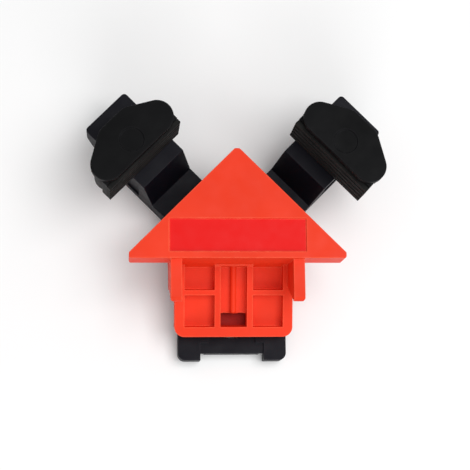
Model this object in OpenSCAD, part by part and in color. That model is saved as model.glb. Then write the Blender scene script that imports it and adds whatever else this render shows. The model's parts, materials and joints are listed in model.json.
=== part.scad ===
// Spring corner clamp: a lever with a right-angled wedge, a forked base with a
// handle, and two swivel jaws. Millimetres. X runs along the hinge pin, Y points
// to the corner that is clamped, Z is up. The base stands on z = 0 and the hinge
// axis lies above the origin. Drawn with the jaws open on thin strips.

/* [Wedge] */
// Length of the wedge's rear edge, to its sharp corners
wedge_w = 75.8; // [60:0.2:100]
// Depth of the wedge block
wedge_t = 11; // [7:0.5:16]
// Height of the wedge's top face above the base
wedge_top = 37; // [33:0.5:50]
// Radius of the wedge's upright edges
wedge_r = 0.8; // [0.4:0.1:2]
// How much is cut off each rear corner of the wedge
corner_cut = 1.9; // [1:0.1:4]
// Width of the flat at the wedge's front corner
apex_flat = 1; // [0.5:0.1:4]
// Wall of the wedge, which is open below
wedge_wall = 2.6; // [1.6:0.1:4]
// Length of the bare panel on the wedge
panel_l = 45.5; // [20:0.5:60]
// Width of the bare panel
panel_w = 11.1; // [5:0.1:16]
// Depth of the bare panel
panel_d = 0.6; // [0.1:0.05:0.8]
// Distance of the bare panel from the wedge's rear edge
panel_at = 2.2; // [1:0.1:6]
// Thickness of the ribs inside the wedge
wedge_rib_t = 1.9; // [1.2:0.1:3]
// Distance of the cross rib inside the wedge from the rear edge
wedge_rib_at = 11; // [8:0.5:14]

/* [Hinge] */
// Height of the hinge axis above the base
hinge_z = 10; // [8:0.5:16]
// How far the hinge axis lies ahead of the wedge's rear edge
hinge_ahead = 7.2; // [2:0.1:12]
// Radius of the hinge pin
pin_r = 2.5; // [1.5:0.1:4]
// Radius of the pin's head and of its retainer
pin_head_r = 4.2; // [3:0.1:6]
// Thickness of the pin's head
pin_head_t = 1.6; // [1:0.1:3]
// How far the pin reaches past its retainer's inner face
pin_tail = 2.2; // [1.8:0.1:4]
// Radius of the base's hinge lugs
lug_r = 5.5; // [4:0.1:8]
// Thickness of each lug
lug_t = 4.4; // [3:0.1:8]
// Radius of the cheek around the pin
cheek_r = 6.5; // [5:0.1:9]
// Thickness of each cheek
cheek_t = 3.8; // [2.5:0.1:6]
// Width over both cheeks
cheek_w = 44.5; // [36:0.5:60]
// Room around the cheeks' eyes in the base
eye_room = 0.5; // [0.3:0.1:1]
// How far the cheeks' ears reach behind the wedge
ear_l = 14; // [8:0.2:20]
// How far the ears' tops lie below the wedge's top
ear_drop = 1.8; // [0.5:0.1:6]
// How far the ears' rear edge leans forward on its way down
ear_lean = 6.8; // [2:0.2:9]
// Radius of the ears' top corners
ear_r = 1.5; // [0.8:0.1:4]
// Radius of the ears' upright outer edges
ear_edge_r = 1; // [0.5:0.1:2]
// Thickness of the wall between the cheeks
web_t = 1.6; // [1:0.1:3]

/* [Upper handle] */
// Slope of the upper handle, down to the rear
tray_slope = 12; // [4:1:20]
// Length of the upper handle from the hinge axis
tray_l = 29.6; // [22:0.2:40]
// Width of the upper handle
tray_w = 40.6; // [34:0.2:56]
// Depth of the upper handle
tray_h = 5.6; // [4:0.1:9]
// Wall of the upper handle's rim
tray_rim = 3.4; // [2:0.1:5]
// Floor of the upper handle
tray_floor = 1.8; // [1.2:0.1:3]
// Corner radius of the upper handle
tray_r = 3.4; // [1:0.1:6]
// Distance of the upper handle's front from the hinge axis
tray_at = 4.2; // [3.8:0.1:5]
// Width over the two ribs of the middle column
column_w = 13.2; // [10:0.2:20]
// Thickness of the column ribs
column_t = 2.1; // [1:0.1:3]
// Width of the round-topped rib over the spring leg
leg_rib_w = 2.2; // [1.6:0.1:4]
// Height of the straight sides of that rib
leg_rib_h = 1.2; // [0.6:0.1:2]
// Height of the raised bar ahead of the column, above the rim
bar_rise = 1; // [0.4:0.1:3]
// Depth of the raised bar behind the upper handle's front
bar_t = 1; // [0.6:0.1:2]
// Thickness of the cross ribs
cross_t = 1.8; // [1:0.1:3]
// Distance of the cross ribs from the hinge axis
cross_at = 14.4; // [10:0.1:16]
// Length of the window at the end of the middle column
window_l = 4.4; // [3:0.1:9]

/* [Base handle] */
// Length of the base handle behind the hinge axis
base_l = 38.4; // [30:0.2:50]
// Width of the base handle
base_w = 37.6; // [30:0.2:52]
// Height of the raised sides of the base handle
base_side_z = 6.6; // [5:0.1:7]
// Half width of the spring recess in the base handle
recess_hw = 8.2; // [6:0.1:12]
// Length of the wide end of the spring recess
recess_end_l = 6; // [4:0.1:8]
// Width of the notch in the rear end
notch_w = 22; // [12:0.2:30]
// Depth of the notch in the rear end
notch_d = 2.4; // [1:0.1:6]
// Radius of the rear corners
base_r = 2.5; // [1:0.1:6]
// Width of the hanging slot in the base handle
slot_w = 6; // [6:0.2:14]
// Length of the hanging slot
slot_l = 3; // [2:0.2:4]
// Distance of the hanging slot from the rear end
slot_at = 7.7; // [6:0.1:8]
// Wall of the base, which is open below
base_wall = 2.4; // [1.6:0.1:4]
// Distance of the base's hollows from the hinge axis
base_hollow_at = 11; // [10:0.2:16]

/* [Arms] */
// Width of each arm
arm_w = 18.9; // [14:0.1:26]
// Length of each arm from the hinge axis
arm_l = 63.4; // [54:0.2:80]
// How far each arm's middle line lies ahead of the hinge axis
arm_ahead = 0.8; // [0.2:0.1:2]
// Height of the arm where the work lies across it
arm_low = 9.5; // [7:0.1:12]
// Height of the seat that carries the jaw
seat_z = 24.5; // [20:0.5:30]
// Thickness of the seat's deck
deck_t = 5; // [3:0.1:8]
// Distance from the wedge's side to the foot of the seat
rise_at = 8.8; // [4:0.1:10]
// Length of the slope up to the seat
rise_run = 4.5; // [2:0.1:6]
// Length of the taper below the arm's end
arm_taper = 10.8; // [6:0.2:14]
// Thickness of the arm's end
arm_end_t = 7.5; // [5:0.1:12]
// Radius of the arm's end corners
arm_r = 1.3; // [0.6:0.1:4]
// Thickness of the rib between the arm's hollows
arm_rib_t = 1.8; // [1.2:0.1:3]
// Distance of the front hollows from the hinge axis
arm_hollow_at = 16; // [15:0.5:20]
// Depth of the panels in the arm's flanks
flank_d = 0.8; // [0.4:0.1:1.2]
// Margin of these panels
flank_edge = 2; // [1:0.1:4]

/* [Jaws] */
// Clear gap between the wedge and the jaw faces
work_gap = 18.2; // [14:0.1:20]
// How far the jaw's middle lies ahead of the middle of the wedge's side
jaw_ahead = 1.7; // [0.5:0.1:4]
// Distance from the jaw's face to its pivot
face_to_pivot = 6.4; // [5:0.1:9]
// Length of the jaw's cap
cap_l = 33.8; // [24:0.2:44]
// Depth of the jaw's cap
cap_d = 15.3; // [12:0.1:22]
// Length of the flat back of the cap
cap_flat = 8; // [4:0.2:14]
// Corner radius of the cap
cap_r = 5.5; // [3:0.1:7]
// Thickness of the cap
cap_t = 3.4; // [2:0.1:6]
// Height of the cap's top above the base
cap_top = 46; // [40:0.5:60]
// How far the cap's front lies behind the pad's face
cap_set = 0.7; // [0.2:0.1:2]
// Radius of the round mark on the cap
mark_r = 4; // [2:0.1:6]
// Depth of the round mark
mark_d = 0.4; // [0.1:0.05:0.8]
// How far the jaw's body lies inside the cap's outline
jaw_inset = 1; // [0.5:0.1:2]
// Length of the face plate and its pad
face_l = 32.6; // [24:0.2:44]
// Thickness of the face plate
plate_t = 2.4; // [1.5:0.1:4]
// Thickness of the rubber pad
pad_t = 1.5; // [1:0.1:3]
// Width of the pad's grooves
groove_w = 1; // [0.6:0.1:2]
// Depth of the pad's grooves
groove_d = 0.4; // [0.2:0.1:0.8]
// Distance between the pad's grooves
groove_pitch = 3.5; // [2:0.1:6]
// Radius of the jaw's pivot pin
pivot_r = 2; // [1.5:0.1:3]
// How deep the pivot pin sits in the jaw
pivot_in = 13; // [8:0.5:15]
// How far the pivot pin reaches below the deck
pivot_tail = 2; // [1.4:0.1:4]

/* [Rings] */
// Radius of the pivot washers
washer_r = 4.4; // [3:0.1:6]
// Thickness of the pivot washers
washer_t = 0.5; // [0.3:0.1:1]
// Thickness of the retainers
retainer_t = 0.8; // [0.5:0.1:1.2]
// Wall of the pivot retainers
retainer_wall = 1.2; // [0.8:0.1:2]
// Height of the hinge retainer's collar
collar_h = 1.5; // [1:0.1:2]
// Wall of that collar
collar_wall = 0.8; // [0.5:0.1:1.2]

/* [Spring] */
// Diameter of the spring wire
wire_d = 1.6; // [1:0.1:2.4]
// Mean radius of the coils
coil_r = 3.5; // [3.4:0.1:5]
// Whole turns in each of the two coils
coil_turns = 3; // [2:1:5]
// Distance between neighbouring turns
coil_pitch = 1.75; // [1.2:0.05:3]
// Length of the middle leg, under the upper handle
leg_up = 17; // [10:0.5:20]
// Length of the two outer legs, on the base handle
leg_down = 20; // [10:0.5:26]

/* [Fits] */
// Radial clearance of a pin that turns
turn_fit = 0.05; // [0.02:0.01:0.1]
// Radial clearance of a pin that is held
hold_fit = 0.02; // [0.01:0.01:0.05]
// Clearance between faces that slide past each other
side_fit = 0.3; // [0.2:0.05:0.6]
// Clearance between faces that rest on each other
seat_fit = 0.05; // [0.02:0.01:0.1]

/* [Hidden] */

$fn = 64;
red = [0.86, 0.13, 0.08];
black = [0.07, 0.07, 0.075];
rubber = [0.04, 0.04, 0.04];
steel = [0.72, 0.72, 0.70];
cut = 0.5;

rear_y = -hinge_ahead;
wedge_bot = wedge_top - wedge_t;
half_w = wedge_w / 2;
cheek_x = cheek_w / 2 - cheek_t;
lug_x = cheek_x - side_fit - lug_t;
ear_y = rear_y - ear_l;
ear_z = wedge_top - ear_drop;

// The underside of the upper handle rests on the spring's middle leg.
tray_under = coil_r + wire_d / 2 + seat_fit;
tray_top = tray_under + tray_h;
tray_front = -tray_at;
recess_z = hinge_z - coil_r - wire_d / 2 - seat_fit;

// A point of the upper handle in the side view, with y behind the axis and w above it.
function on_tray(y, w) =
    [y * cos(tray_slope) - w * sin(tray_slope), hinge_z + y * sin(tray_slope) + w * cos(tray_slope)];
// Height of the upper handle's plane w at the distance y.
function tray_z(y, w) = hinge_z + y * tan(tray_slope) + w / cos(tray_slope);

// Along an arm, s is the distance from the hinge axis and t the distance across it,
// toward the corner.
wedge_s = (half_w + rear_y) / sqrt(2);
face_s = wedge_s + work_gap;
pivot_s = face_s + face_to_pivot;
pivot_t = rear_y / sqrt(2) + jaw_ahead;
rise_s = wedge_s + rise_at;
deck_z = seat_z - deck_t;

jaw_z = seat_z + washer_t + 2 * seat_fit;
cap_z = cap_top - cap_t;
cap_front = face_to_pivot - cap_set;
pin_reach = cheek_w / 2 + side_fit;

// Outline of equal circles around a convex row of centres, with straight sides.
module round_outline(centres, r) {
    n = len(centres);
    polygon([for (i = [0:n - 1]) for (e = [0, 1])
        let (a = centres[i], b = centres[(i + 1) % n], d = (b - a) / norm(b - a))
        (e == 0 ? a : b) + r * [d[1], -d[0]]]);
    for (c = centres) translate(c) circle(r);
}

// A YZ outline, drawn with Y to the right, carried along X.
module along_x(x, l) {
    translate([x, 0, 0]) rotate([90, 0, 90]) linear_extrude(l) children();
}

// Both sides of the symmetry plane.
module both_sides() {
    children();
    mirror([1, 0, 0]) children();
}

// Places the right arm: X along the arm, Y across it toward the corner.
module on_arm() {
    rotate([0, 0, 45]) children();
}

// Places a right jaw piece: X away from the work, Y along it, origin on the pivot.
module at_pivot() {
    on_arm() translate([pivot_s, pivot_t, 0]) children();
}

module wedge_outline(inset) {
    polygon([[-half_w + inset * (1 + sqrt(2)), inset], [half_w - inset * (1 + sqrt(2)), inset],
             [0, half_w - inset * sqrt(2)]]);
}

module wedge_block() {
    side = half_w - corner_cut - wedge_r;
    corner_y = half_w - wedge_r * sqrt(2) - side;
    apex_y = half_w - wedge_r * sqrt(2) - apex_flat / 2;
    into = wedge_wall / 2;
    rib_l = half_w - wedge_wall * sqrt(2) - into / 2;
    rib_x = half_w - wedge_rib_at - wedge_wall;
    translate([0, rear_y, wedge_bot]) {
        difference() {
            linear_extrude(wedge_t)
                round_outline([[-side, wedge_r], [side, wedge_r], [side, corner_y],
                               [apex_flat / 2, apex_y], [-apex_flat / 2, apex_y], [-side, corner_y]],
                              wedge_r);
            translate([0, 0, -cut]) linear_extrude(wedge_t - wedge_wall + cut)
                wedge_outline(wedge_wall);
            translate([-panel_l / 2, panel_at, wedge_t - panel_d]) cube([panel_l, panel_w, wedge_t]);
        }
        // Stiffening ribs inside the wedge. The cheeks run on there too.
        translate([-wedge_rib_t / 2, into, into]) cube([wedge_rib_t, rib_l, wedge_t - wedge_wall]);
        translate([-rib_x, wedge_rib_at, into]) cube([2 * rib_x, wedge_rib_t, wedge_t - wedge_wall]);
        both_sides() translate([cheek_x, into, 0])
            cube([cheek_t, half_w - cheek_w / 2 - wedge_wall, wedge_t - into]);
    }
}

// Side view of a cheek: hinge eye, upright under the wedge, and the ear behind it.
module cheek_outline() {
    eye = cheek_r * [cos(17), sin(17)];
    into = wedge_wall / 2;
    foot_y = ear_y + ear_lean;
    difference() {
        union() {
            translate([0, hinge_z]) circle(cheek_r);
            polygon([[eye[0], wedge_bot + into], [eye[0], hinge_z + eye[1]],
                     [-eye[0], hinge_z - eye[1]], [foot_y, tray_z(foot_y, tray_under) - cut],
                     [foot_y, tray_z(foot_y, tray_top)], [ear_y, ear_z - ear_r],
                     [ear_y + ear_r, ear_z], [rear_y + into, ear_z],
                     [rear_y + into, wedge_bot + into]]);
            translate([ear_y + ear_r, ear_z - ear_r]) circle(ear_r);
        }
        translate([0, hinge_z]) circle(pin_r + turn_fit);
    }
}

// A cheek, with the upright outer edge of its ear rounded off.
module cheek() {
    difference() {
        along_x(cheek_x, cheek_t) cheek_outline();
        translate([cheek_w / 2 - ear_edge_r, ear_y + ear_edge_r, 0]) linear_extrude(wedge_top)
            difference() {
                translate([0, -ear_edge_r - cut]) square(ear_edge_r + cut);
                circle(ear_edge_r);
            }
    }
}

// Side view of the wall between the cheeks, from the wedge down to the upper handle's floor.
module web_outline() {
    top_y = rear_y + wedge_wall / 3;
    top_z = wedge_bot + wedge_wall / 2;
    foot = tray_under + tray_floor / 2;
    polygon([[top_y, top_z], [top_y + web_t, top_z],
             on_tray(tray_front - cut / 2, foot), on_tray(tray_front - cut / 2 - web_t, foot)]);
}

// Upper handle, in its own sloping frame with the hinge axis at the origin.
module tray() {
    r = tray_r;
    hw = tray_w / 2;
    inner = hw - tray_rim;
    col = column_w / 2;
    rear = -tray_l + tray_rim;
    floor_z = tray_under + tray_floor;
    front = tray_front - cut;
    difference() {
        translate([0, 0, tray_under]) linear_extrude(tray_h)
            round_outline([[-hw + r, -tray_l + r], [hw - r, -tray_l + r],
                           [hw - r, tray_front - r], [-hw + r, tray_front - r]], r);
        // Two pockets on each side, apart by a cross rib, and the middle column. They are
        // open to the wall between the cheeks.
        both_sides() {
            translate([col, rear, floor_z])
                cube([inner - col, -rear - cross_at - cross_t / 2, tray_h]);
            translate([col, -cross_at + cross_t / 2, floor_z])
                cube([inner - col, cross_at - cross_t / 2, tray_h]);
        }
        translate([column_t - col, rear, floor_z])
            cube([2 * (col - column_t), -rear, tray_h]);
        translate([column_t - col, rear, tray_under - cut])
            cube([2 * (col - column_t), window_l, tray_h]);
    }
    // Raised bar ahead of the middle column.
    translate([-col, tray_front - bar_t, floor_z])
        cube([column_w, bar_t + cut, tray_top + bar_rise - floor_z]);
    // Round-topped rib along the spring's middle leg.
    rib_r = leg_rib_w / 2;
    rib_end = rear + window_l + rib_r;
    rib_z = floor_z + leg_rib_h;
    translate([-rib_r, rib_end, floor_z - cut])
        cube([leg_rib_w, front - rib_end + cut, rib_z - floor_z + cut]);
    translate([0, front + cut, rib_z]) rotate([90, 0, 0])
        cylinder(h = front - rib_end + cut, r = rib_r);
    translate([0, rib_end, floor_z - cut]) cylinder(h = rib_z - floor_z + cut, r = rib_r);
    translate([0, rib_end, rib_z]) sphere(rib_r);
}

module upper_lever() {
    color(red) {
        wedge_block();
        both_sides() cheek();
        along_x(-cheek_x - cut, 2 * (cheek_x + cut)) web_outline();
        translate([0, 0, hinge_z]) rotate([tray_slope, 0, 0]) tray();
    }
}

// Side view of an arm: low under the work, then the seat, then the tapered end.
module arm_outline() {
    end_z = seat_z - arm_end_t;
    polygon([[0, 0], [arm_l - arm_taper, 0], [arm_l + cut, end_z * (1 + cut / arm_taper)],
             [arm_l + cut, seat_z], [rise_s + rise_run, seat_z], [rise_s, arm_low], [0, arm_low]]);
}

module arm() {
    side = arm_w / 2 - arm_r;
    hollow = (arm_w - arm_rib_t) / 2 - base_wall;
    seat_s = rise_s + rise_run + base_wall / 2;
    seat_l = arm_l - arm_taper - base_wall - seat_s;
    on_arm() difference() {
        translate([0, arm_ahead, 0]) difference() {
            intersection() {
                translate([0, arm_w, 0]) rotate([90, 0, 0]) linear_extrude(2 * arm_w) arm_outline();
                translate([0, 0, -cut]) linear_extrude(seat_z + 2 * cut)
                    round_outline([[-arm_w, -side], [arm_l - arm_r, -side], [arm_l - arm_r, side],
                                   [-arm_w, side]], arm_r);
            }
            // Hollows below the seat and below the low part, on both sides of a rib.
            for (t = [arm_rib_t / 2, -arm_rib_t / 2 - hollow]) {
                translate([seat_s, t, -cut]) cube([seat_l, hollow, deck_z + cut]);
                translate([arm_hollow_at, t, -cut])
                    cube([rise_s - arm_hollow_at, hollow, arm_low - base_wall + cut]);
            }
            // Panels let into both flanks.
            for (f = [-1, 1])
                translate([seat_s + flank_edge / 2, f * arm_w / 2 - flank_d, 2 * flank_edge])
                    cube([seat_l - 1.5 * flank_edge, 2 * flank_d, deck_z - 3 * flank_edge]);
        }
        // Pivot bore and room for its retainer.
        translate([pivot_s, pivot_t, 0]) cylinder(h = seat_z + cut, r = pivot_r + turn_fit);
        translate([pivot_s, pivot_t, 0]) cylinder(h = deck_z, r = pivot_r + retainer_wall + side_fit);
    }
}

module base_handle() {
    hw = base_w / 2;
    front = lug_r - base_r;
    mid = recess_hw - 1;
    mid_y = -base_l + recess_end_l;
    side_y = -base_l + base_wall;
    difference() {
        linear_extrude(base_side_z)
            round_outline([[-hw + base_r, -base_l + base_r], [hw - base_r, -base_l + base_r],
                           [hw - base_r, front], [-hw + base_r, front]], base_r);
        // Spring recess, wider at the rear end, and the notch in that end.
        translate([-recess_hw, mid_y - cut, recess_z]) cube([2 * recess_hw, base_l, hinge_z]);
        translate([-notch_w / 2, -base_l - cut, recess_z]) cube([notch_w, recess_end_l + cut, hinge_z]);
        translate([-notch_w / 2, -base_l - cut, -cut]) cube([notch_w, notch_d + cut, hinge_z]);
        // Hanging slot with round ends.
        translate([0, -base_l + slot_at + slot_l / 2, -cut]) linear_extrude(hinge_z)
            round_outline([[(slot_l - slot_w) / 2, 0], [(slot_w - slot_l) / 2, 0]], slot_l / 2);
        // Hollows below.
        translate([-mid, mid_y, -cut])
            cube([2 * mid, -base_hollow_at - mid_y, recess_z - base_wall + cut]);
        both_sides() translate([mid + base_wall, side_y, -cut])
            cube([hw - 2 * base_wall - mid, -base_hollow_at - side_y, base_side_z - base_wall + cut]);
    }
}

module lower_lever() {
    color(black) difference() {
        union() {
            base_handle();
            both_sides() arm();
            both_sides() along_x(lug_x, lug_t) {
                translate([0, hinge_z]) circle(lug_r);
                translate([-lug_r, 0]) square([2 * lug_r, hinge_z]);
            }
        }
        // Room for the coils between the lugs.
        translate([-lug_x, -lug_r - 2, recess_z]) cube([2 * lug_x, 2 * lug_r + 3, 2 * hinge_z]);
        // Room for the cheeks' eyes and their swing outside the lugs.
        both_sides() along_x(lug_x + lug_t, cheek_t + 2 * side_fit) {
            translate([0, hinge_z]) circle(cheek_r + eye_room);
            polygon([[-cheek_r, hinge_z - cheek_r], [cheek_r + 1, hinge_z - cheek_r],
                     [cheek_r + 5, hinge_z + 2], [-cheek_r, hinge_z + 2]]);
        }
        along_x(-cheek_w, 2 * cheek_w) translate([0, hinge_z]) circle(pin_r + turn_fit);
    }
}

module hinge_pin() {
    color(steel) translate([0, 0, hinge_z]) rotate([0, 90, 0]) {
        translate([0, 0, -pin_reach - pin_head_t]) cylinder(h = pin_head_t, r = pin_head_r);
        translate([0, 0, -pin_reach - cut]) cylinder(h = 2 * pin_reach + pin_tail + cut, r = pin_r);
    }
}

module hinge_retainer() {
    color(steel) translate([pin_reach, 0, hinge_z]) rotate([0, 90, 0]) difference() {
        union() {
            cylinder(h = retainer_t, r = pin_head_r);
            cylinder(h = collar_h, r = pin_r + collar_wall);
        }
        translate([0, 0, -cut]) cylinder(h = collar_h + 2 * cut, r = pin_r + hold_fit);
    }
}

// Torsion spring with two coils, swept along one wire. Each step of the path holds a
// point and the direction that points away from the coil's axis, both as seen from
// the hinge axis.
function coil_step(side, k) =
    let (sweep = 180 + tray_slope + 360 * coil_turns, a = -90 + sweep * k,
         reach = coil_pitch * sweep / 360 * (1 - k))
    [[side * (leg_gap + reach), coil_r * cos(a), coil_r * sin(a)], [0, cos(a), sin(a)]];
function leg_point(x, l) =
    [x, -coil_r * sin(tray_slope) - l * cos(tray_slope),
     coil_r * cos(tray_slope) - l * sin(tray_slope)];

leg_gap = wire_d / 2 + 0.1;
leg_up_dir = [0, -sin(tray_slope), cos(tray_slope)];
coil_end = leg_gap + coil_pitch * (180 + tray_slope + 360 * coil_turns) / 360;
coil_steps = 24 * coil_turns + 14;

wire_path = concat(
    [[[-coil_end, -leg_down, -coil_r], [0, 0, -1]], [[-coil_end, -leg_down / 2, -coil_r], [0, 0, -1]]],
    [for (i = [0:coil_steps]) coil_step(-1, i / coil_steps)],
    [for (b = [0:30:180]) [leg_point(-leg_gap * cos(b), leg_up + leg_gap * sin(b)), leg_up_dir]],
    [for (i = [0:coil_steps]) coil_step(1, 1 - i / coil_steps)],
    [[[coil_end, -leg_down / 2, -coil_r], [0, 0, -1]], [[coil_end, -leg_down, -coil_r], [0, 0, -1]]]);

module torsion_spring() {
    m = 10;
    n = len(wire_path);
    ring = [for (i = [0:n - 1])
        let (p = wire_path[i][0], u = wire_path[i][1],
             t = wire_path[min(i + 1, n - 1)][0] - wire_path[max(i - 1, 0)][0],
             w = cross(t / norm(t), u), v = w / norm(w))
        for (j = [0:m - 1]) p + wire_d / 2 * (cos(360 * j / m) * u + sin(360 * j / m) * v)];
    color(steel) translate([0, 0, hinge_z]) polyhedron(ring, concat(
        [[for (j = [0:m - 1]) j]],
        [for (i = [0:n - 2]) for (j = [0:m - 1])
            [i * m + j, (i + 1) * m + j, (i + 1) * m + (j + 1) % m, i * m + (j + 1) % m]],
        [[for (j = [0:m - 1]) n * m - 1 - j]]));
}

// Plan of the jaw, with its flat side to the work.
module jaw_plan(inset) {
    r = cap_r - inset;
    front = -cap_front + cap_r;
    back = -cap_front + cap_d - cap_r;
    side = cap_l / 2 - cap_r;
    round_outline([[front, -side], [back, -cap_flat / 2], [back, cap_flat / 2], [front, side]], r);
}

module jaw() {
    at_pivot() difference() {
        union() {
            translate([0, 0, cap_z]) linear_extrude(cap_t) jaw_plan(0);
            translate([0, 0, jaw_z]) linear_extrude(cap_z - jaw_z + cut) jaw_plan(jaw_inset);
            translate([-face_to_pivot + pad_t + hold_fit, -face_l / 2, jaw_z])
                cube([plate_t, face_l, cap_z - jaw_z + cut]);
        }
        translate([0, 0, jaw_z - cut]) cylinder(h = pivot_in + 2 * cut, r = pivot_r + hold_fit);
        translate([0, 0, cap_top - mark_d]) cylinder(h = mark_d + cut, r = mark_r);
        // The pad lies below the cap, against the face plate.
        translate([-face_to_pivot - cut, -face_l / 2 - cut, jaw_z - cut])
            cube([pad_t + hold_fit + cut, face_l + 2 * cut, cap_z - jaw_z + cut]);
    }
}

module jaw_pad() {
    grooves = floor((cap_z - jaw_z) / groove_pitch - 0.5);
    at_pivot() difference() {
        translate([-face_to_pivot, -face_l / 2, jaw_z + side_fit])
            cube([pad_t, face_l, cap_z - jaw_z - 2 * side_fit]);
        for (i = [1:grooves])
            translate([-face_to_pivot - cut, -face_l, jaw_z + groove_pitch * i - groove_w / 2])
                cube([groove_d + cut, 2 * face_l, groove_w]);
    }
}

module pivot_pin() {
    at_pivot() translate([0, 0, deck_z - pivot_tail])
        cylinder(h = jaw_z + pivot_in - deck_z + pivot_tail, r = pivot_r);
}

module pivot_washer() {
    at_pivot() translate([0, 0, seat_z + seat_fit]) difference() {
        cylinder(h = washer_t, r = washer_r);
        translate([0, 0, -cut]) cylinder(h = washer_t + 2 * cut, r = pivot_r + turn_fit);
    }
}

module pivot_retainer() {
    at_pivot() translate([0, 0, deck_z - retainer_t - seat_fit]) difference() {
        cylinder(h = retainer_t, r = pivot_r + retainer_wall);
        translate([0, 0, -cut]) cylinder(h = retainer_t + 2 * cut, r = pivot_r + hold_fit);
    }
}

module left() {
    mirror([1, 0, 0]) children();
}

lower_lever();
upper_lever();
hinge_pin();
hinge_retainer();
torsion_spring();
color(black) left() jaw();  // left_jaw
color(rubber) left() jaw_pad();  // left_jaw_pad
color(steel) left() pivot_pin();  // left_pivot_pin
color(steel) left() pivot_washer();  // left_pivot_washer
color(steel) left() pivot_retainer();  // left_pivot_retainer
color(black) jaw();  // right_jaw
color(rubber) jaw_pad();  // right_jaw_pad
color(steel) pivot_pin();  // right_pivot_pin
color(steel) pivot_washer();  // right_pivot_washer
color(steel) pivot_retainer();  // right_pivot_retainer
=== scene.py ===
import json
import math

import bmesh
import bpy
import numpy as np
from mathutils import Matrix, Vector


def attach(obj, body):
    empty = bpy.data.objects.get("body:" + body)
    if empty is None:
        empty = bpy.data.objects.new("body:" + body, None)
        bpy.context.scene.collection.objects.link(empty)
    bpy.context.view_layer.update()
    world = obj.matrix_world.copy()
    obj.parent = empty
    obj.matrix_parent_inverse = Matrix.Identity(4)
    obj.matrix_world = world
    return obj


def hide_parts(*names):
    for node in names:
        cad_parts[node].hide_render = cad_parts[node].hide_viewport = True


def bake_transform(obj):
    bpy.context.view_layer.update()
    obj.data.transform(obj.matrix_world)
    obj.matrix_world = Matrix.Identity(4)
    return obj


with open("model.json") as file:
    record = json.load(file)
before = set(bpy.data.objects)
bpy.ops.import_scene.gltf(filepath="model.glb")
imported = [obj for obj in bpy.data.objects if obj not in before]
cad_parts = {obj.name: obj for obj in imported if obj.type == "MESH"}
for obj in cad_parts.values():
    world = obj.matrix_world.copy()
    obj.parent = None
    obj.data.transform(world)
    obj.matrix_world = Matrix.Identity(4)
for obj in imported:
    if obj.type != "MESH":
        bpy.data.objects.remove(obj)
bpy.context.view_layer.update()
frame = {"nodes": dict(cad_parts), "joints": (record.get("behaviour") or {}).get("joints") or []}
nodes = frame["nodes"]
MM = 0.001


def place(name, data):
    """A new object in the scene."""
    thing = bpy.data.objects.new(name, data)
    bpy.context.scene.collection.objects.link(thing)
    return thing


# Materials. Noise scales are per metre, so that 1000 gives spots of about a millimetre.

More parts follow.
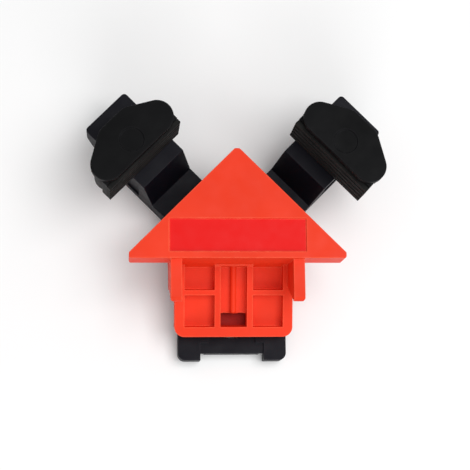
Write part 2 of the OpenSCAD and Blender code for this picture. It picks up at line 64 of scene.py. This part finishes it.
class Shader:
    """A new node material with a Principled surface and short helpers for its nodes."""

    def __init__(self, name):
        self.material = bpy.data.materials.new(name)
        self.material.use_nodes = True
        self.tree = self.material.node_tree
        self.surface = self.tree.nodes["Principled BSDF"]
        self.coords = self.add("ShaderNodeTexCoord").outputs["Object"]

    def add(self, kind, **inputs):
        node = self.tree.nodes.new(kind)
        for key, value in inputs.items():
            node.inputs[key].default_value = value
        return node

    def link(self, source, target):
        self.tree.links.new(source, target)

    def set(self, **inputs):
        """Sets inputs of the surface to constant values, with _ for a space in their names."""
        for key, value in inputs.items():
            self.surface.inputs[key.replace("_", " ")].default_value = value

    def feed(self, **inputs):
        """Links sockets to inputs of the surface, named as in set."""
        for key, source in inputs.items():
            self.link(source, self.surface.inputs[key.replace("_", " ")])

    def noise(self, scale, detail=4.0, stretch=None):
        node = self.add("ShaderNodeTexNoise", Scale=scale, Detail=detail)
        source = self.coords
        if stretch:
            mapping = self.add("ShaderNodeMapping", Scale=stretch)
            self.link(source, mapping.inputs["Vector"])
            source = mapping.outputs["Vector"]
        self.link(source, node.inputs["Vector"])
        return node.outputs["Fac"]

    def ramp(self, value, low, high, start=0.3, end=0.7):
        """Maps a 0 to 1 value onto two colours or two numbers."""
        node = self.add("ShaderNodeValToRGB")
        for stop, tone, at in zip(node.color_ramp.elements, (low, high), (start, end)):
            stop.position = at
            stop.color = (*tone, 1) if isinstance(tone, tuple) else (tone, tone, tone, 1)
        self.link(value, node.inputs["Fac"])
        return node.outputs["Color"]

    def mix(self, share, first, second):
        """The first colour where the share is 0 and the second where it is 1."""
        node = self.add("ShaderNodeMix")
        node.data_type = "RGBA"
        self.link(share, node.inputs["Factor"])
        colours = [socket for socket in node.inputs if socket.type == "RGBA"]
        for socket, tone in zip(colours, (first, second)):
            if isinstance(tone, tuple):
                socket.default_value = (*tone, 1)
            else:
                self.link(tone, socket)
        return next(socket for socket in node.outputs if socket.type == "RGBA")

    def calc(self, operation, *values):
        """A math node on sockets or numbers."""
        node = self.add("ShaderNodeMath")
        node.operation = operation
        for socket, value in zip(node.inputs, values):
            if isinstance(value, (int, float)):
                socket.default_value = value
            else:
                self.link(value, socket)
        return node.outputs[0]

    def inside(self, centre, half):
        """1 inside a box given in mm, 0 outside it."""
        axes = self.add("ShaderNodeSeparateXYZ")
        self.link(self.coords, axes.inputs[0])
        x, y, z = (self.calc("COMPARE", axes.outputs[k], centre[k] * MM, half[k] * MM)
                   for k in range(3))
        return self.calc("MULTIPLY", self.calc("MULTIPLY", x, y), z)

    def edge(self, distance):
        """1 on outer edges, 0 on flats, from the difference between a bevelled and a plain normal."""
        bevel = self.add("ShaderNodeBevel", Radius=distance)
        geometry = self.add("ShaderNodeNewGeometry")
        likeness = self.add("ShaderNodeVectorMath")
        likeness.operation = "DOT_PRODUCT"
        self.link(bevel.outputs["Normal"], likeness.inputs[0])
        self.link(geometry.outputs["Normal"], likeness.inputs[1])
        return self.ramp(likeness.outputs["Value"], 1.0, 0.0, start=0.82, end=0.99)

    def bump(self, *layers):
        """Stacks height maps, each given as (height, strength, distance)."""
        normal = None
        for height, strength, distance in layers:
            node = self.add("ShaderNodeBump", Strength=strength, Distance=distance)
            self.link(height, node.inputs["Height"])
            if normal:
                self.link(normal, node.inputs["Normal"])
            normal = node.outputs["Normal"]
        self.feed(Normal=normal)


# Reach of the paler edges, which are partly rubbed wear and partly painted highlight
EDGE_WEAR_AND_HIGHLIGHT = 0.7 * MM
ROUGHNESS_DRIFT = 0.07


def moulded_plastic(name, deep, light, worn_and_highlit, roughness, specular, grain, panel=None):
    """Injection-moulded plastic: slow colour drift, spark-eroded grain, and paler edges that are partly
    rubbed wear and partly painted highlight.

    A panel is a box, as centre and half size in mm, and the tone of the surface inside it."""
    s = Shader(name)
    tone = s.ramp(s.noise(38.0, detail=3.0), deep, light, start=0.35, end=0.65)
    if panel:
        centre, half, panel_tone = panel
        tone = s.mix(s.inside(centre, half), tone, panel_tone)
    patches = s.ramp(s.noise(420.0, detail=3.0), 0.4, 0.9, start=0.35)
    # Paler edges: partly rubbed wear, partly a painted highlight where rounded edges catch the light
    rubbed_and_highlit = s.calc("MULTIPLY", s.edge(EDGE_WEAR_AND_HIGHLIGHT), patches)
    gloss = s.ramp(s.noise(190.0, detail=5.0), roughness - ROUGHNESS_DRIFT, roughness + ROUGHNESS_DRIFT)
    s.feed(Base_Color=s.mix(rubbed_and_highlit, tone, worn_and_highlit), Roughness=gloss)
    s.set(Specular_IOR_Level=specular)
    s.bump((s.noise(2600.0, detail=2.0), grain, 0.12 * MM),
           (s.noise(60.0, detail=2.0), 0.05, 0.4 * MM))
    return s.material


def rubber_material():
    s = Shader("pad_rubber")
    s.feed(Base_Color=s.ramp(s.noise(150.0, detail=5.0), (0.006, 0.006, 0.006), (0.014, 0.014, 0.013)),
           Roughness=s.ramp(s.noise(500.0), 0.72, 0.9))
    s.set(Specular_IOR_Level=0.18)
    s.bump((s.noise(1800.0, detail=3.0), 0.3, 0.2 * MM))
    return s.material


def steel_material():
    """Zinc-plated steel with fine marks across the X axis, as on a turned hinge pin."""
    s = Shader("zinc_steel")
    s.feed(Base_Color=s.ramp(s.noise(90.0, detail=5.0), (0.50, 0.50, 0.49), (0.72, 0.73, 0.74)),
           Roughness=s.ramp(s.noise(260.0, stretch=(9.0, 1.0, 1.0)), 0.22, 0.42))
    s.set(Metallic=1.0)
    s.bump((s.noise(900.0, detail=3.0, stretch=(12.0, 1.0, 1.0)), 0.08, 0.1 * MM))
    return s.material


def floor_material():
    s = Shader("floor_white")
    s.feed(Base_Color=s.ramp(s.noise(14.0, detail=3.0), (0.94, 0.94, 0.94), (0.96, 0.96, 0.96)))
    s.set(Roughness=0.8, Specular_IOR_Level=0.1)
    return s.material


# The bare panel on the wedge: a box in mm and its colour
PANEL_CENTRE = (0, 0.55, 36.4)
PANEL_HALF = (22.75, 5.55, 0.25)
PANEL_RED = (0.77, 0.004, 0.003)

RED = moulded_plastic("red_plastic", deep=(0.78, 0.036, 0.008), light=(0.85, 0.044, 0.012),
                      worn_and_highlit=(0.95, 0.17, 0.08), roughness=0.50, specular=0.16, grain=0.10,
                      panel=(PANEL_CENTRE, PANEL_HALF, PANEL_RED))
# A darker copy of the red plastic: painted shade for the inside of the window pocket
PAINTED_SHADE_RED = moulded_plastic("red_plastic_painted_shade", deep=(0.29, 0.009, 0.006), light=(0.34, 0.012, 0.008),
                           worn_and_highlit=(0.45, 0.030, 0.020), roughness=0.55, specular=0.10, grain=0.10)
BASE_BLACK = moulded_plastic("base_plastic", deep=(0.0036, 0.0036, 0.0072), light=(0.0056, 0.0056, 0.0096),
                             worn_and_highlit=(0.024, 0.024, 0.030), roughness=0.52, specular=0.13, grain=0.16)
JAW_BLACK = moulded_plastic("jaw_plastic", deep=(0.0028, 0.0029, 0.0033), light=(0.0045, 0.0046, 0.0052),
                            worn_and_highlit=(0.020, 0.020, 0.022), roughness=0.55, specular=0.07, grain=0.16)
RUBBER = rubber_material()
STEEL = steel_material()


# CAD nodes: materials and the small edge radii of moulded and turned pieces, in mm

LEVER_EDGE = 0.12
JAW_EDGE = 0.2
SMALL_EDGE = 0.12
RING_EDGE = 0.1
EDGE_SEGMENTS = 2
WELD_REACH = 0.001
# Only edges that turn by more than this are rounded
EDGE_ANGLE = math.radians(38)


def soften(piece, edge):
    """Rounds the edges of a piece by a small radius and shades it smoothly."""
    weld = piece.modifiers.new("weld", "WELD")
    weld.merge_threshold = WELD_REACH * MM
    bevel = piece.modifiers.new("bevel", "BEVEL")
    bevel.width = edge * MM
    bevel.segments = EDGE_SEGMENTS
    bevel.limit_method = "ANGLE"
    bevel.angle_limit = EDGE_ANGLE
    bevel.use_clamp_overlap = False
    bevel.loop_slide = False
    bevel.miter_outer = "MITER_ARC"
    bevel.face_strength_mode = "FSTR_ALL"
    normals = piece.modifiers.new("normals", "WEIGHTED_NORMAL")
    normals.keep_sharp = False
    normals.use_face_influence = True
    for polygon in piece.data.polygons:
        polygon.use_smooth = True


def dress(name, material, edge):
    piece = nodes[name]
    piece.data.materials.clear()
    piece.data.materials.append(material)
    soften(piece, edge)


dress("upper_lever", RED, LEVER_EDGE)
dress("lower_lever", BASE_BLACK, LEVER_EDGE)
for side in ("left", "right"):
    dress(side + "_jaw", JAW_BLACK, JAW_EDGE)
    dress(side + "_jaw_pad", RUBBER, SMALL_EDGE)
    dress(side + "_pivot_pin", STEEL, SMALL_EDGE)
    dress(side + "_pivot_washer", STEEL, RING_EDGE)
    dress(side + "_pivot_retainer", STEEL, RING_EDGE)
dress("hinge_pin", STEEL, SMALL_EDGE)
dress("hinge_retainer", STEEL, SMALL_EDGE)


# Hinge axis and the slope of the handle, from which the spring and the pocket are drawn in mm

LEVER_HINGE = next(joint for joint in frame["joints"] if joint["name"] == "lever_hinge")
HINGE_Z = LEVER_HINGE["pos_m"][2] / MM
SLOPE_DEG = 12
SLOPE = math.radians(SLOPE_DEG)


def sloped(x, along, above):
    """A point along the sloping handle and square to it, in mm from the hinge axis."""
    return (x, along * math.cos(SLOPE) - above * math.sin(SLOPE),
            along * math.sin(SLOPE) + above * math.cos(SLOPE))


def in_part(point):
    """A point in mm from the hinge axis, in the part's frame and in metres."""
    x, y, z = point
    return x * MM, y * MM, (z + HINGE_Z) * MM


# Torsion spring: one wire in two halves. Each half starts on the base with its outer
# leg and ends on the upper lever with its half of the middle leg. Lengths are in mm.

COIL_R = 3.5
WIRE_R = 0.8
PITCH = 1.75
TURNS = 3
SWEEP = math.radians(180 + SLOPE_DEG + 360 * TURNS)
LEG_GAP = 0.9
LEG_UP = 17.0
LEG_DOWN = 20.0
COIL_END = LEG_GAP + PITCH * SWEEP / (2 * math.pi)
# Along X, this much of the coil goes with its outer and with its middle leg
COIL_STEPS = 118
LEG_STEPS = (0.25, 0.5, 0.75)
BEND_STEPS = range(0, 91, 15)
WIRE_SIDES = 14


def half_path(side):
    """Points of half the wire, in mm from the hinge axis, each with the direction of its outer side."""
    below = (0, 0, -1)
    path = [((side * COIL_END, -LEG_DOWN * k, -COIL_R), below) for k in (1, *reversed(LEG_STEPS))]
    for step in range(COIL_STEPS + 1):
        k = step / COIL_STEPS
        angle = -math.pi / 2 + SWEEP * k
        x = LEG_GAP + (COIL_END - LEG_GAP) * (1 - k)
        y, z = math.cos(angle), math.sin(angle)
        path.append(((side * x, COIL_R * y, COIL_R * z), (0, y, z)))
    above = sloped(0, 0, 1)
    path += [(sloped(side * LEG_GAP, -LEG_UP * k, COIL_R), above) for k in LEG_STEPS]
    for degrees in BEND_STEPS:
        bend = math.radians(degrees)
        reach = LEG_UP + LEG_GAP * math.sin(bend)
        path.append((sloped(side * LEG_GAP * math.cos(bend), -reach, COIL_R), above))
    return path


def wire_mesh(name, path):
    """A closed round wire along a path."""
    points = np.array([step[0] for step in path])
    outward = np.array([step[1] for step in path], float)
    along = np.gradient(points, axis=0)
    along /= np.linalg.norm(along, axis=1)[:, None]
    across = np.cross(along, outward)
    across /= np.linalg.norm(across, axis=1)[:, None]
    n = WIRE_SIDES
    verts, faces = [], []
    for k in range(len(points)):
        for j in range(n):
            angle = 2 * math.pi * j / n
            spoke = math.cos(angle) * outward[k] + math.sin(angle) * across[k]
            verts.append(in_part(points[k] + WIRE_R * spoke))
    for k in range(len(points) - 1):
        for j in range(n):
            a, b = k * n + j, k * n + (j + 1) % n
            faces.append((a, a + n, b + n, b))
    faces.append(tuple(range(n)))
    faces.append(tuple(reversed(range(len(verts) - n, len(verts)))))
    mesh = bpy.data.meshes.new(name)
    mesh.from_pydata(verts, [], faces)
    mesh.polygons.foreach_set("use_smooth", [len(face) == 4 for face in faces])
    return mesh


def spring_half(side, name):
    mesh = wire_mesh(name, half_path(side))
    mesh.materials.append(STEEL)
    half = place(name, mesh)
    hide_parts("torsion_spring")
    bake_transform(half)


spring_half(-1, "torsion_spring_left")
spring_half(1, "torsion_spring_right")


# Pocket that closes the handle's window from below, in mm along the sloping handle

UNDER_FIT = 0.05
HANDLE_UNDER = COIL_R + WIRE_R + UNDER_FIT
WINDOW_HALF_W = 4.5
WINDOW_REAR = -26.2
WINDOW_FRONT = -21.8
POCKET_DEEP = 0.75
POCKET_WALL = 0.6
POCKET_LEAN = 1.4
POCKET_IN = 0.3
POCKET_FIT = 0.05


def pocket_profile(grow):
    """Side view of the pocket's cavity, or of its outside where grow is the wall."""
    rear = WINDOW_REAR + POCKET_FIT - grow
    front = WINDOW_FRONT - POCKET_FIT + grow
    top = HANDLE_UNDER + POCKET_IN
    bottom = HANDLE_UNDER - POCKET_DEEP - grow
    return [(rear, top), (rear, HANDLE_UNDER), (rear + POCKET_LEAN, bottom), (front, bottom), (front, top)]


def pocket_shell(grow, first):
    """Corners and faces of the profile over the pocket's width, open at the top.

    The faces count the corners from first."""
    profile = pocket_profile(grow)
    n = len(profile)
    half = WINDOW_HALF_W - POCKET_FIT + grow
    corners = [in_part(sloped(x, along, above)) for x in (-half, half) for along, above in profile]
    ends = [tuple(range(k, k + n)) for k in (first, first + n)]
    walls = [(k, k + 1, n + k + 1, n + k) for k in range(first, first + n - 1)]
    return corners, ends + walls


def window_pocket():
    """Cavity and outside, joined by a rim. Only the cavity has the darker red, which is painted shade for
    the dim inside of the window.
    """
    inner, cavity = pocket_shell(0, 0)
    n = len(inner)
    outer, outside = pocket_shell(POCKET_WALL, n)
    mouth = (0, n // 2, n - 1, n // 2 - 1)
    rim = [(a, b, b + n, a + n) for a, b in zip(mouth, mouth[1:] + mouth[:1])]
    mesh = bpy.data.meshes.new("window_pocket")
    mesh.from_pydata(inner + outer, [], cavity + outside + rim)
    facing = bmesh.new()
    facing.from_mesh(mesh)
    bmesh.ops.recalc_face_normals(facing, faces=facing.faces)
    facing.to_mesh(mesh)
    facing.free()
    # Painted shade: the cavity takes the darker red, the outside and rim the plain red
    mesh.materials.append(PAINTED_SHADE_RED)
    mesh.materials.append(RED)
    mesh.polygons.foreach_set("material_index", [0] * len(cavity) + [1] * len(outside + rim))
    pocket = place("window_pocket", mesh)
    soften(pocket, SMALL_EDGE)
    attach(pocket, "lever")


window_pocket()


# Stage: pale floor and soft light, in metres and watts

FLOOR_HALF = 3.0
FLOOR_DROP = 0.2 * MM
SKY_STRENGTH = 0.46
SOFTBOX_SIZE = 0.6

floor_mesh = bpy.data.meshes.new("floor")
floor_mesh.from_pydata([(-FLOOR_HALF, -FLOOR_HALF, 0), (FLOOR_HALF, -FLOOR_HALF, 0),
                        (FLOOR_HALF, FLOOR_HALF, 0), (-FLOOR_HALF, FLOOR_HALF, 0)],
                       [], [(0, 1, 2, 3)])
floor_mesh.materials.append(floor_material())
floor = place("floor", floor_mesh)
floor.location.z = -FLOOR_DROP

world = bpy.data.worlds.new("studio")
bpy.context.scene.world = world
world.use_nodes = True
sky = world.node_tree.nodes["Background"]
sky.inputs["Color"].default_value = (1.0, 1.0, 1.0, 1)
sky.inputs["Strength"].default_value = SKY_STRENGTH


def softbox(name, at, target, power):
    light = bpy.data.lights.new(name, "AREA")
    light.shape = "SQUARE"
    light.size = SOFTBOX_SIZE
    light.energy = power
    lamp = place(name, light)
    lamp.location = at
    lamp.rotation_euler = (Vector(target) - Vector(at)).to_track_quat("-Z", "Y").to_euler()


softbox("key", at=(0.28, 0.02, 0.92), target=(0, 0.01, 0.02), power=5.3)
softbox("fill", at=(0.05, -0.80, 0.52), target=(0, 0, 0.02), power=2.8)


# Camera as in the photograph, with its focal length in pixels of the picture

PICTURE_PX = 470
FOCAL_PX = 1381.7
SENSOR_MM = 36.0
NEAREST = 10 * MM
EYE = Vector((-38.92, -75.92, 484.84)) * MM
LOOK = Vector((0.0830, 0.1675, -0.9824)).normalized()
UP = Vector((-0.0027, 0.9858, 0.1678))

optics = bpy.data.cameras.new("camera")
optics.sensor_fit = "HORIZONTAL"
optics.sensor_width = SENSOR_MM
optics.lens = FOCAL_PX / PICTURE_PX * SENSOR_MM
optics.clip_start = NEAREST
camera = place("camera", optics)
right = LOOK.cross(UP).normalized()
turn = Matrix((right, right.cross(LOOK), -LOOK)).transposed()
camera.matrix_world = Matrix.Translation(EYE) @ turn.to_4x4()
bpy.context.scene.camera = camera
bpy.context.scene.view_settings.view_transform = "Standard"

bpy.context.view_layer.update()
